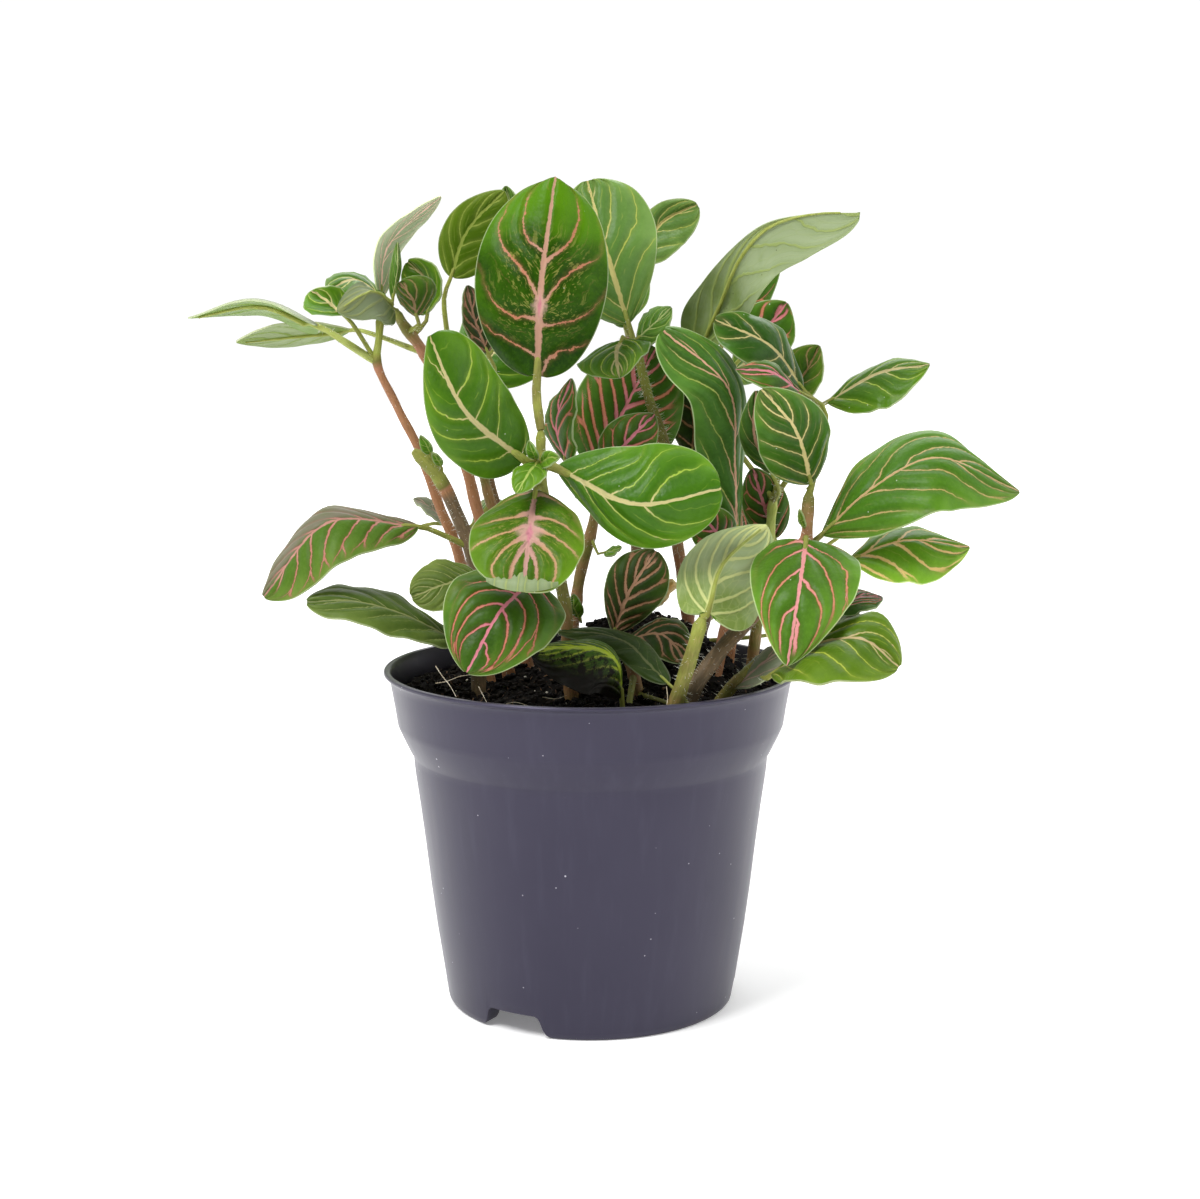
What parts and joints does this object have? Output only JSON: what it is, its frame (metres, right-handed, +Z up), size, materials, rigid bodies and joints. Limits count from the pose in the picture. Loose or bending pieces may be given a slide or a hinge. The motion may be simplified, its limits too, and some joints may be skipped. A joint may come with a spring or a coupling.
{
  "type": "potted nerve plant",
  "caption": "Bushy small-leaved house plant with pale-veined oval leaves on upright stems, in a thin dark plastic nursery pot of soil.",
  "frame": {"origin": "on the pot's axis, level with the feet it stands on", "axes": "+Z up along the pot's axis; +Y away from the side shown in the picture; +X to that side's right"},
  "size_m": [0.232, 0.1488, 0.2367],
  "materials": {
    "pot_plastic": "satin",
    "peat_soil": "matte",
    "leaf_fresh": "satin",
    "leaf_deep": "satin",
    "leaf_grey": "satin"
  },
  "bodies": {
    "root": {"pot": "pot_plastic", "soil": "peat_soil", "leafy_stem_left": "leaf_grey", "leafy_stem_inner": "leaf_fresh", "leafy_stem_backLeft": "leaf_deep", "leafy_stem_cut": "leaf_fresh", "leafy_stem_front": "leaf_fresh", "leafy_stem_centre": "leaf_deep", "leafy_stem_hairy": "leaf_deep", "leafy_stem_erect": "leaf_deep", "leafy_stem_tall": "leaf_grey", "leafy_stem_pale": "leaf_deep", "leafy_stem_right": "leaf_fresh", "leafy_stem_lowFront": "leaf_grey", "leafy_stem_lowRight": "leaf_fresh", "leafy_stem_lowCentre": "leaf_deep", "leafy_stem_rearLeft": "leaf_deep", "leafy_stem_rearMiddle": "leaf_deep", "leafy_stem_rearRight": "leaf_deep"}
  },
  "joints": []
}
